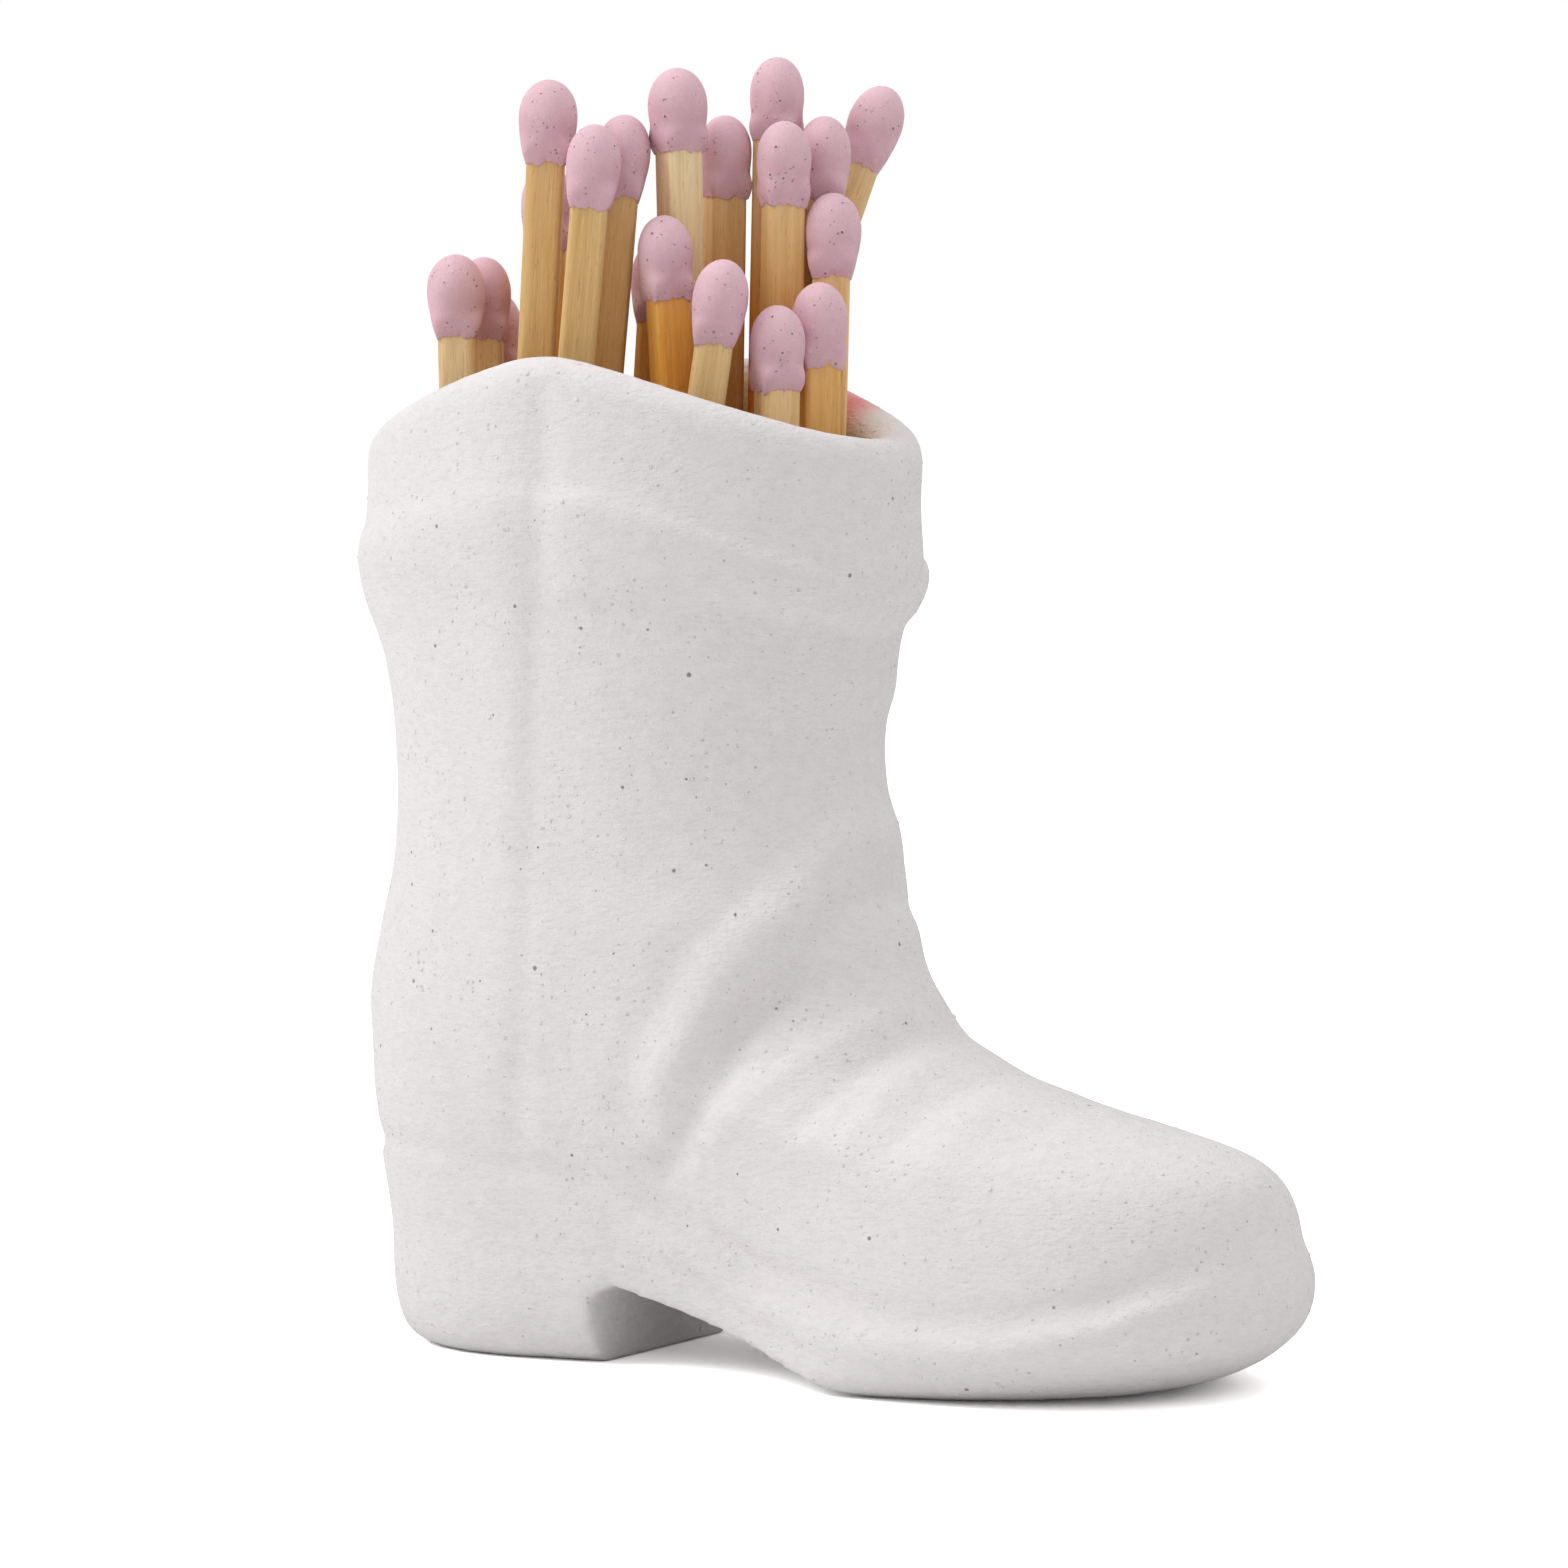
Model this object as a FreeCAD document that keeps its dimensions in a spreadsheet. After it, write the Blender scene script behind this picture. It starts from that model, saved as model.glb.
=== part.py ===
"""Boot-shaped match striker: a slip-cast bisque boot holding a bunch of wooden matches.

Millimetres, +Z up. The boot stands on its heel and sole at z = 0, toe towards +X, and the
origin is at the centre of its outline on the floor. The boot is one hollow cast piece whose
rough unglazed skin is the striking surface. Each match is a square stick with its own head.
"""
import FreeCAD, Part
import Sketcher
import math
import os

V = FreeCAD.Vector

# Sizes that stand alone.
SIZES = [
    ("shaft_wall", 2.0), ("lip_thickness", 3.6), ("floor_thickness", 3.4), ("sole_thickness", 2.6),
    ("bore_side_clearance", 1.57), ("bore_back_clearance", 3.71), ("bore_front_clearance", 3.01),
    ("rim_height", 60.5), ("scallop_depth", 5.2), ("scallop_start", 36.0), ("scallop_full", 47.0),
    ("scallop_reach", 18.0), ("lip_bend_start", 9.0), ("lip_bend_end", 4.0),
    ("shaft_axis_setback", 12.6), ("heel_centre_setback", 6.0), ("toe_point", 0.95),
    ("shank_waist", 3.0), ("breast_across", 1.7), ("breast_height", 4.3), ("arch_top_across", 3.2),
    ("arch_top_height", 4.9), ("arch_low_across", 17.6), ("arch_low_height", 0.95),
    ("ramp_start", -3.0), ("ramp_end", 2.5), ("heel_round_from", 11.5), ("heel_round_to", 26.0),
    ("shank_waist_top", 17.0), ("foot_bore_top", 20.5), ("foot_bore_low", 5.0),
    ("foot_bore_toe_wall", 13.0), ("bore_heel_taper", 0.6), ("bore_side_taper", 0.9),
    ("seam_across", -1.9), ("seam_width", 3.6), ("seam_height", 0.28), ("seam_foot", 12.5),
    ("seam_groove", 0.3), ("heel_line_height", 11.2), ("heel_line_step", 0.3),
    ("welt_back_height", 5.4), ("welt_ball_height", 4.1), ("welt_toe_height", 7.4),
    ("welt_step", 0.45), ("stick_width", 2.3), ("stick_gap", 0.15), ("match_length", 57.0),
    ("rim_spread", 0.555), ("spread_start", 5.0), ("stick_top", 1.6), ("head_length", 5.2),
    ("stick_bevel", 0.12), ("floor_gap", 0.1),
]

# Rings of the foot, from the floor up: height, then reach back and front of the shaft's axis,
# and half width at the heel and at the ball.
FOOT_RINGS = [
    (0.0, 14.1, 34.6, 8.3, 11.6), (0.5, 15.5, 37.9, 9.2, 12.6), (1.5, 16.2, 40.6, 9.8, 13.3),
    (3.0, 16.6, 42.9, 10.1, 13.7), (5.0, 16.9, 44.0, 10.2, 13.9), (6.7, 17.1, 44.2, 10.3, 13.6),
    (9.0, 17.4, 43.9, 10.4, 13.2), (11.3, 17.5, 43.1, 10.5, 12.6), (12.5, 17.5, 42.4, 10.8, 12.3),
    (13.5, 17.6, 41.3, 11.1, 12.0), (14.4, 17.8, 38.6, 11.3, 11.8), (15.2, 17.9, 33.8, 11.5, 11.7),
    (16.2, 18.0, 29.6, 11.6, 11.6), (17.2, 18.1, 26.6, 11.7, 11.6), (18.3, 18.2, 23.9, 11.8, 11.7),
    (19.5, 18.3, 21.9, 12.0, 11.9), (21.6, 18.4, 19.6, 12.1, 12.0),
]

# Rings of the shaft: height, then how far each stands out from the waist at back, front and side.
SHAFT_RINGS = [
    (24.0, 2.0, 3.2, 0.2), (26.5, 1.4, 2.8, 0.2), (29.5, 0.6, 1.2, 0.0), (34.0, 0.3, 0.2, 0.0),
    (38.0, 0.5, 0.1, 0.1), (43.5, 0.8, 0.9, 0.5), (47.0, 1.2, 1.0, 0.9), (49.5, 2.2, 1.6, 1.5),
    (52.0, 3.0, 2.7, 1.8), (54.3, 2.5, 2.5, 1.4), (57.0, 2.2, 2.5, 1.3), (60.5, 2.2, 2.8, 1.3),
]

# Folds of the ankle on both sides: upper, middle and lower point as (across, height), how far
# the fold stands out (negative for a groove) and its half width.
FOLDS = [
    ("main_fold", (15.8, 32.0), (9.4, 25.0), (5.0, 13.5), 0.75, 1.9),
    ("main_groove", (16.0, 29.0), (12.9, 21.5), (6.4, 10.0), -0.6, 1.5),
    ("second_fold", (19.0, 22.3), (16.6, 18.6), (13.0, 13.5), 0.5, 1.5),
    ("second_groove", (20.7, 20.6), (19.4, 17.2), (16.4, 13.0), -0.4, 1.2),
    ("third_fold", (22.6, 19.2), (22.0, 16.5), (19.6, 13.0), 0.35, 1.4),
    ("fourth_fold", (27.4, 17.2), (27.0, 15.2), (24.2, 11.8), 0.35, 1.8),
]

# Matches: row from near to far, place of the foot along the row and its offset, both in stick
# pitches, how far the match leans to the right and away between its foot and the rim's height,
# how far its tip stands above the rim (None: far down, on the floor of the bore), head width.
MATCHES = [
    (0.5, -4.2, 0.0, -1.07, 0.0, 5.9, 3.6), (1.5, -4.04, 0.1, 0.0, 0.0, 5.8, 3.3),
    (2.5, -3.8, 0.2, 0.0, 0.0, 3.7, 3.3), (-0.5, -3.43, 0.0, 1.99, 0.0, 16.3, 3.6),
    (1.5, -2.78, 0.0, 0.72, 0.0, 11.3, 3.4), (-1.5, -3.06, 0.0, 3.64, 0.0, 13.5, 3.2),
    (-0.5, -2.41, 0.0, 3.65, 0.0, 14.2, 3.3), (-0.5, 1.31, 0.0, -0.84, 0.0, 17.0, 3.6),
    (-1.5, 1.8, 0.03, -2.73, 0.0, 8.1, 3.3), (0.5, 1.68, 0.0, 0.58, 0.0, 14.3, 3.0),
    (0.5, 2.85, -0.02, 0.75, 0.0, 17.8, 3.12), (-0.5, 3.1, -0.3, 0.68, 0.0, 13.8, 3.15),
    (0.5, 3.8, -0.41, 1.22, 0.0, 14.2, 2.96), (1.5, -1.63, -0.045, 13.16, -0.6, 16.1, 3.4),
    (-0.5, 4.06, -0.35, 1.24, 0.0, 9.5, 3.46), (-1.5, 4.08, -0.33, 0.55, 0.0, 4.1, 3.4),
    (-2.5, 3.04, 0.0, 0.6, 0.0, None, 2.9), (-2.5, -1.27, 0.5, 7.36, -1.42, 5.4, 3.1),
    (0.5, -0.98, -0.04, 2.98, 0.0, 6.8, 3.4), (2.5, 1.18, -0.09, 0.31, 0.0, 12.4, 3.4),
]
ROW_TURN = 30.0

HALF_POINTS = 22
ARC_STEPS = 40
FOOT_ROW_STEP, SHAFT_ROW_STEP, SHAFT_ROWS_FROM = 1.5, 1.9, 33.0
INSIDE_ROWS = (56.5, 53.5, 49.0, 43.5, 38.0, 34.0, 30.0, 25.0, 21.0, 16.0, 11.0, 6.0)
TUBE_ROWS = (24.0, 21.5, 18.0, 14.5, 11.0, 8.0, 5.0, 3.4)
BORE_BOTTOM = 1.9
PAST_BOOT = 60.0

doc = FreeCAD.newDocument("match_striker_boot")
sheet = doc.addObject("Spreadsheet::Sheet", "sizes")
cells = {}


def add_size(alias, value):
    """Put one driving size into the sheet under its own name."""
    cell = "B%d" % (len(cells) + 1)
    sheet.set(cell.replace("B", "A"), alias)
    sheet.set(cell, "%g" % value)
    sheet.setAlias(cell, alias)
    cells[alias] = cell


for alias, value in SIZES:
    add_size(alias, value)
for k, (height, back, front, heel_side, ball_side) in enumerate(FOOT_RINGS):
    for part_name, value in (("height", height), ("back", back), ("front", front),
                             ("heel_side", heel_side), ("ball_side", ball_side)):
        add_size("foot_ring_%d_%s" % (k, part_name), value)
for k, (height, back, front, side) in enumerate(SHAFT_RINGS):
    for part_name, value in (("height", height), ("back", back), ("front", front), ("side", side)):
        add_size("shaft_ring_%d_%s" % (k, part_name), value)
for name, top, middle, low, height, half_width in FOLDS:
    for part_name, value in (("top_across", top[0]), ("top_height", top[1]),
                             ("middle_across", middle[0]), ("middle_height", middle[1]),
                             ("low_across", low[0]), ("low_height", low[1]),
                             ("rise", height), ("half_width", half_width)):
        add_size("%s_%s" % (name, part_name), value)
doc.recompute()


def size(alias):
    """Value of one cell of the sheet."""
    return float(sheet.get(alias))


PITCH = size("stick_width") + size("stick_gap")
SETBACK = size("shaft_axis_setback")


def ease(start, end, value):
    """Smooth step from 0 at start to 1 at end."""
    t = min(max((value - start) / (end - start), 0.0), 1.0)
    return t * t * (3.0 - 2.0 * t)


def smooth_curve(points):
    """Monotone cubic curve through (height, value) points."""
    xs = [p[0] for p in points]
    ys = [p[1] for p in points]
    steps = [xs[i + 1] - xs[i] for i in range(len(xs) - 1)]
    slopes = [(ys[i + 1] - ys[i]) / steps[i] for i in range(len(steps))]
    tangents = [slopes[0]]
    for a, b, step_a, step_b in zip(slopes, slopes[1:], steps, steps[1:]):
        if a * b <= 0.0:
            tangents.append(0.0)
        else:
            wa, wb = 2.0 * step_b + step_a, step_b + 2.0 * step_a
            tangents.append((wa + wb) / (wa / a + wb / b))
    tangents.append(slopes[-1])

    def value_at(x):
        x = min(max(x, xs[0]), xs[-1])
        i = max(k for k in range(len(steps)) if x >= xs[k])
        t = (x - xs[i]) / steps[i]
        share = ease(0.0, 1.0, t)
        leaving = (t ** 3 - 2.0 * t ** 2 + t) * steps[i] * tangents[i]
        arriving = (t ** 3 - t ** 2) * steps[i] * tangents[i + 1]
        return (1.0 - share) * ys[i] + share * ys[i + 1] + leaving + arriving

    return value_at


def ring_curves():
    """Curves of back, front, heel side and ball side over the height of the boot."""
    bore_back = 4.2 * PITCH + size("bore_back_clearance")
    bore_front = 4.2 * PITCH + size("bore_front_clearance")
    bore_side = 3.4 * PITCH + size("bore_side_clearance")
    waist_back = bore_back + size("shaft_wall")
    waist_front = bore_front + size("shaft_wall")
    waist_side = bore_side + size("shaft_wall")
    tables = {"back": [], "front": [], "heel_side": [], "ball_side": []}
    for k in range(len(FOOT_RINGS)):
        for part_name in tables:
            point = (size("foot_ring_%d_height" % k), size("foot_ring_%d_%s" % (k, part_name)))
            tables[part_name].append(point)
    for k in range(len(SHAFT_RINGS)):
        height = size("shaft_ring_%d_height" % k)
        side = waist_side + size("shaft_ring_%d_side" % k)
        tables["back"].append((height, waist_back + size("shaft_ring_%d_back" % k)))
        tables["front"].append((height, waist_front + size("shaft_ring_%d_front" % k)))
        tables["heel_side"].append((height, side))
        tables["ball_side"].append((height, side))
    return {part_name: smooth_curve(points) for part_name, points in tables.items()}, waist_front


CURVES, WAIST_FRONT = ring_curves()


def even_points(points):
    """The same path as points at even distances along it."""
    run = [0.0]
    for a, b in zip(points, points[1:]):
        run.append(run[-1] + math.hypot(b[0] - a[0], b[1] - a[1]))
    even = []
    i = 0
    for k in range(HALF_POINTS):
        target = run[-1] * k / (HALF_POINTS - 1)
        while i < len(run) - 2 and run[i + 1] < target:
            i += 1
        t = (target - run[i]) / max(run[i + 1] - run[i], 1e-9)
        even.append((points[i][0] + (points[i + 1][0] - points[i][0]) * t,
                     points[i][1] + (points[i + 1][1] - points[i][1]) * t))
    return even


def boot_plan(height, back, front, heel_side, ball_side, ball_centre, blunt):
    """Near half of a boot-shaped outline: round heel, waisted shank, round toe."""
    heel_round = 1.0 - ease(size("heel_round_from"), size("heel_round_to"), height)
    heel_centre = -size("heel_centre_setback") * heel_round
    dip = size("shank_waist") * (1.0 - ease(0.0, size("shank_waist_top"), height))
    points = []
    for k in range(ARC_STEPS):
        t = k / ARC_STEPS * math.pi / 2.0
        points.append((heel_centre - (heel_centre + back) * math.cos(t), heel_side * math.sin(t)))
    for k in range(ARC_STEPS):
        t = k / ARC_STEPS
        bulge = heel_side + (ball_side - heel_side) * ease(0.0, 1.0, t)
        waisted = bulge - dip * math.sin(math.pi * t) ** 2
        points.append((heel_centre + (ball_centre - heel_centre) * t, waisted))
    for k in range(ARC_STEPS + 1):
        t = k / ARC_STEPS * math.pi / 2.0
        reach = (front - ball_centre) * math.sin(t) ** blunt
        points.append((ball_centre + reach, ball_side * math.cos(t)))
    return even_points(points)


def half_outline(height, inset=0.0):
    """Near half of the boot's outline at one height, moved inwards by inset."""
    front = CURVES["front"](height)
    ball_centre = max(0.0, size("toe_point") * (front - WAIST_FRONT - 1.6))
    blunt = 0.9 + 0.5 * ease(9.0, 17.5, height) - 0.4 * ease(20.0, 29.0, height)
    even = boot_plan(height, CURVES["back"](height), front, CURVES["heel_side"](height),
                     CURVES["ball_side"](height), ball_centre, blunt)
    if inset:
        even = [(x - nx * inset, y - ny * inset) for (x, y), (nx, ny) in zip(even, normals(even))]
        even[0] = (even[0][0], 0.0)
        even[-1] = (even[-1][0], 0.0)
    return even


def normals(outline):
    """Outward directions of a half outline."""
    result = [(-1.0, 0.0)]
    for before, after in zip(outline, outline[2:]):
        dx, dy = after[0] - before[0], after[1] - before[1]
        length = math.hypot(dx, dy)
        result.append((-dy / length, dx / length))
    result.append((1.0, 0.0))
    return result


def scallop(across, height):
    """How far the rim and collar are lowered towards the front and the back."""
    weight = ease(size("scallop_start"), size("scallop_full"), height)
    reach = min(abs(across) / size("scallop_reach"), 1.0)
    return size("scallop_depth") * weight * reach ** 1.2


def distance_to_fold(name, across, height):
    """Distance in side view from a point to the bent line of one fold."""
    corners = [(size("%s_%s_across" % (name, k)), size("%s_%s_height" % (name, k)))
               for k in ("top", "middle", "low")]
    best = 1e9
    for a, b in zip(corners, corners[1:]):
        dx, dy = b[0] - a[0], b[1] - a[1]
        t = min(max(((across - a[0]) * dx + (height - a[1]) * dy) / (dx * dx + dy * dy), 0.0), 1.0)
        best = min(best, math.hypot(across - a[0] - t * dx, height - a[1] - t * dy))
    return best


def seam_relief(across, height):
    """Strap down the side seam, with a shallow groove along its front edge."""
    half = size("seam_width") / 2.0
    from_seam = across - size("seam_across")
    strap = ease(half + 0.5, half - 0.5, abs(from_seam))
    strap *= ease(size("seam_foot") - 1.0, size("seam_foot") + 1.5, height)
    groove = (from_seam - half - 0.5) / 0.7
    cut = math.exp(-groove * groove) * ease(size("seam_foot"), size("seam_foot") + 7.5, height)
    return size("seam_height") * strap - size("seam_groove") * cut


def heel_relief(across, height):
    """Step where the heel block starts under the counter."""
    line = size("heel_line_height")
    step = ease(line + 0.6, line - 0.6, height) * ease(3.0, 8.0, height)
    return -size("heel_line_step") * step * ease(4.0, 0.0, across)


def welt_relief(across, height):
    """Step above the welt, which rises from the ball towards the toe."""
    back, ball = size("welt_back_height"), size("welt_ball_height")
    line = back + (ball - back) * ease(8.0, 24.0, across)
    line += (size("welt_toe_height") - ball) * ease(24.0, 43.0, across)
    step = ease(line - 0.7, line + 0.7, height) * ease(line + 6.0, line + 1.0, height)
    return -size("welt_step") * step * ease(7.0, 14.0, across)


def relief(across, height, side):
    """Height of the cast details over the smooth skin: folds, seam strap, heel line and welt."""
    rise = 0.0
    for name in (fold[0] for fold in FOLDS):
        gap = distance_to_fold(name, across, height) / size(name + "_half_width")
        rise += size(name + "_rise") * math.exp(-gap * gap)
    if side > 4.0:
        rise += seam_relief(across, height)
    if across < 4.0:
        rise += heel_relief(across, height)
    if across > 6.0:
        rise += welt_relief(across, height)
    return rise


def full_row(half, heights):
    """Closed row of surface poles from a half outline and the height of each point."""
    near = [V(x, -y, z) for (x, y), z in zip(half, heights)]
    far = [V(x, y, z) for (x, y), z in zip(half, heights)]
    return near + far[-2:0:-1]


def outside_rows(top):
    """Rows of poles from the edge of the sole up to the foot of the rolled lip."""
    heights = [0.0, 0.12, 0.35, 0.7, 1.2, 2.0]
    while heights[-1] < SHAFT_ROWS_FROM:
        heights.append(heights[-1] + FOOT_ROW_STEP)
    while heights[-1] < top - 2.4:
        heights.append(heights[-1] + SHAFT_ROW_STEP)
    heights.append(top)
    rows = []
    for height in heights:
        half = half_outline(height)
        if height > 1.0:
            shape = []
            for (x, y), (nx, ny) in zip(half, normals(half)):
                rise = relief(x, height, y)
                shape.append((x + nx * rise, y + ny * rise))
            half = [(shape[0][0], 0.0)] + shape[1:-1] + [(shape[-1][0], 0.0)]
        rows.append(full_row(half, [height - scallop(x, height) for x, y in half]))
    return rows


def lip_rows(base):
    """Rows of poles over the rolled lip, from the outside to the inside."""
    half = half_outline(base)
    radius = size("lip_thickness") / 2.0
    outward = normals(half)
    rows = []
    for angle in (30.0, 60.0, 90.0, 120.0, 150.0, 180.0):
        turn = math.radians(angle)
        shift = radius - radius * 1.05 * math.cos(turn)
        lift = radius * 1.05 * math.sin(turn)
        ring = [(x - nx * shift, y - ny * shift) for (x, y), (nx, ny) in zip(half, outward)]
        ring[0] = (ring[0][0], 0.0)
        ring[-1] = (ring[-1][0], 0.0)
        rows.append(full_row(ring, [base + lift - scallop(x, base) for x, y in half]))
    return rows


def bore_half_outline(height, extra=0.0):
    """Near half of the bore's outline at one height, grown outwards by extra."""
    rim = size("rim_height")
    lip = ease(rim - size("lip_bend_start"), rim - size("lip_bend_end"), height)
    wall = size("shaft_wall") + (size("lip_thickness") - size("shaft_wall")) * lip
    top = size("foot_bore_top")
    if height >= top:
        return half_outline(height, wall - extra)
    low = size("foot_bore_low")
    back = CURVES["back"](height) - wall + extra
    back -= size("bore_heel_taper") * (1.0 - ease(2.0, low + 1.0, height))
    low_front = size("foot_ring_4_front") - size("foot_bore_toe_wall")
    front = low_front + (CURVES["front"](top) - wall - low_front) * ease(low, top, height) + extra
    side = CURVES["heel_side"](height) - wall + extra
    side -= size("bore_side_taper") * (1.0 - ease(4.0, low + 3.0, height))
    return boot_plan(height, back, front, side, side, max(0.0, front - WAIST_FRONT + 2.2), 1.0)


def inside_rows():
    """Rows of poles down the bore to its flat bottom."""
    rows = []
    for height in INSIDE_ROWS:
        half = bore_half_outline(height)
        rows.append(full_row(half, [height - scallop(x, height) for x, y in half]))
    half = bore_half_outline(BORE_BOTTOM)
    rows.append(full_row(half, [BORE_BOTTOM] * len(half)))
    return rows


def skin_face(rows):
    """Smooth surface over closed rows of poles, clamped at its first and last row."""
    surface = Part.BSplineSurface()
    row_knots = len(rows) - 2
    row_mults = [4] + [1] * (row_knots - 2) + [4]
    around = len(rows[0])
    surface.buildFromPolesMultsKnots(
        rows, row_mults, [1] * (around + 1), list(range(row_knots)), list(range(around + 1)),
        False, True, 3, 3)
    return surface.toShape()


def closed_solid(face, planes):
    """Solid from one skin face and the flat heights that close it."""
    faces = [face]
    for edge in face.Edges:
        box = edge.BoundBox
        for plane in planes:
            if abs(box.ZMin - plane) < 1e-6 and abs(box.ZMax - plane) < 1e-6:
                faces.append(Part.Face(Part.Wire([edge])))
    shell = Part.Shell(faces)
    shell.sewShape()
    solid = Part.Solid(Part.Shell(shell.Faces))
    if solid.Volume < 0.0:
        solid.reverse()
    return solid


def bound_outline(name, points):
    """Sketch in the side plane: a closed outline whose corners are bound to sheet names."""
    sketch = doc.addObject("Sketcher::SketchObject", name)
    sketch.Placement = FreeCAD.Placement(V(-SETBACK, 0, 0), FreeCAD.Rotation(V(1, 0, 0), 90))
    count = len(points)
    places = [tuple(evaluate(text) for text in point) for point in points]
    for i in range(count):
        a, b = places[i], places[(i + 1) % count]
        sketch.addGeometry(Part.LineSegment(V(a[0], a[1], 0), V(b[0], b[1], 0)))
    for i in range(count):
        sketch.addConstraint(Sketcher.Constraint("Coincident", i, 2, (i + 1) % count, 1))
    for i, (across, up) in enumerate(points):
        for kind, text, value in (("DistanceX", across, places[i][0]), ("DistanceY", up, places[i][1])):
            number = sketch.addConstraint(Sketcher.Constraint(kind, -1, 1, i, 1, value))
            sketch.setExpression("Constraints[%d]" % number, text)
    return sketch


def evaluate(text):
    """Value of a short sum of sheet names and numbers such as 'sizes.a + sizes.b - 2'."""
    total, sign = 0.0, 1.0
    for word in text.split():
        if word in "+-":
            sign = 1.0 if word == "+" else -1.0
        else:
            total += sign * (size(word[6:]) if word.startswith("sizes.") else float(word))
    return total


def through_block(name, sketch, half_width):
    """Block that runs the outline of a sketch through the whole width of the boot."""
    block = doc.addObject("Part::Extrusion", name)
    block.Base = sketch
    block.DirMode = "Custom"
    block.Dir = V(0, 1, 0)
    block.LengthFwd = half_width
    block.LengthRev = half_width
    block.Solid = True
    return block


def placed(points_shape):
    """Move a shape from the shaft's frame to the part's frame."""
    points_shape.translate(V(-SETBACK, 0, 0))
    return points_shape


# The boot: skin, floor of the bore, arch under the shank.
lip_base = size("rim_height") - size("lip_thickness") / 2.0
skin_rows = outside_rows(lip_base) + lip_rows(lip_base) + inside_rows()
skin = doc.addObject("Part::Feature", "boot_skin")
skin.Shape = placed(closed_solid(skin_face(skin_rows), (0.0, BORE_BOTTOM)))

tube_rows = []
for height in TUBE_ROWS + (BORE_BOTTOM - 0.6,):
    outline = bore_half_outline(height, 0.5)
    tube_rows.append(full_row(outline, [height] * len(outline)))
tube = doc.addObject("Part::Feature", "floor_tube")
tube.Shape = placed(closed_solid(skin_face(tube_rows), (TUBE_ROWS[0], BORE_BOTTOM - 0.6)))

floor_outline = bound_outline("floor_outline", [
    ("-%g" % PAST_BOOT, "1"), ("%g" % PAST_BOOT, "1"), ("%g" % PAST_BOOT, "sizes.floor_thickness"),
    ("sizes.arch_low_across", "sizes.arch_low_height + sizes.sole_thickness"),
    ("sizes.ramp_end", "sizes.arch_top_height + sizes.sole_thickness"),
    ("sizes.ramp_start", "sizes.floor_thickness"), ("-%g" % PAST_BOOT, "sizes.floor_thickness")])
floor_block = through_block("floor_block", floor_outline, PAST_BOOT)
floor_fill = doc.addObject("Part::Common", "floor_fill")
floor_fill.Base = tube
floor_fill.Tool = floor_block

arch_outline = bound_outline("arch_outline", [
    ("sizes.breast_across", "-5"), ("sizes.breast_across", "sizes.breast_height"),
    ("sizes.arch_top_across", "sizes.arch_top_height"),
    ("sizes.arch_low_across", "sizes.arch_low_height"), ("sizes.arch_low_across + 4", "-0.2"),
    ("sizes.arch_low_across + 4", "-5")])
arch = through_block("arch_gap", arch_outline, PAST_BOOT)

filled = doc.addObject("Part::Fuse", "boot_filled")
filled.Base = skin
filled.Tool = floor_fill
boot = doc.addObject("Part::Cut", "boot")
boot.Base = filled
boot.Tool = arch
boot.Label = "boot"


def floor_height(across):
    """Height of the bore's floor at a distance from the shaft's axis."""
    corners = [(-PAST_BOOT, size("floor_thickness")), (size("ramp_start"), size("floor_thickness")),
               (size("ramp_end"), size("arch_top_height") + size("sole_thickness")),
               (size("arch_low_across"), size("arch_low_height") + size("sole_thickness")),
               (PAST_BOOT, size("floor_thickness"))]
    for a, b in zip(corners, corners[1:]):
        if across <= b[0]:
            return a[1] + (b[1] - a[1]) * (across - a[0]) / (b[0] - a[0])
    return corners[-1][1]


def standing_height(foot, tilt):
    """Height of a foot that stands on the bore's floor with a small gap under its corners."""
    corner = size("stick_width") / 2.0 * math.sqrt(2.0)
    highest = max(floor_height(foot.x + side * corner) for side in (-1, 0, 1))
    return highest + size("floor_gap") + corner * tilt


def match_placement(row, slot, offset, reach_right, reach_away, above_rim):
    """Placement of one match: local z along the stick, foot at the local origin."""
    right = V(math.cos(math.radians(ROW_TURN)), math.sin(math.radians(ROW_TURN)), 0)
    back = V(-right.y, right.x, 0)
    rim = size("rim_height")
    spread = row * size("rim_spread") / (rim - size("spread_start"))
    foot_height = size("floor_thickness")
    for attempt in range(6):
        rise = rim - foot_height
        up = right * reach_right / rise + back * (reach_away / rise + spread) + V(0, 0, 1)
        up.normalize()
        from_row = offset * PITCH + spread * (foot_height - size("spread_start"))
        foot = right * (slot * PITCH) + back * (row * PITCH + from_row)
        foot_height = standing_height(foot, math.hypot(up.x, up.y))
        if above_rim is not None:
            foot_height = max(foot_height, rim + above_rim - size("match_length") * up.z)
    side = right - up * right.dot(up)
    side.normalize()
    across = up.cross(side)
    turn = FreeCAD.Matrix(side.x, across.x, up.x, 0, side.y, across.y, up.y, 0,
                          side.z, across.z, up.z, 0, 0, 0, 0, 1)
    place = FreeCAD.Placement(turn)
    place.Base = foot + V(-SETBACK, 0, foot_height)
    return place


def plane_of(body, role):
    """Origin plane of a body, found by its role."""
    return [item for item in body.Origin.OriginFeatures if item.Role == role][0]


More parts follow.
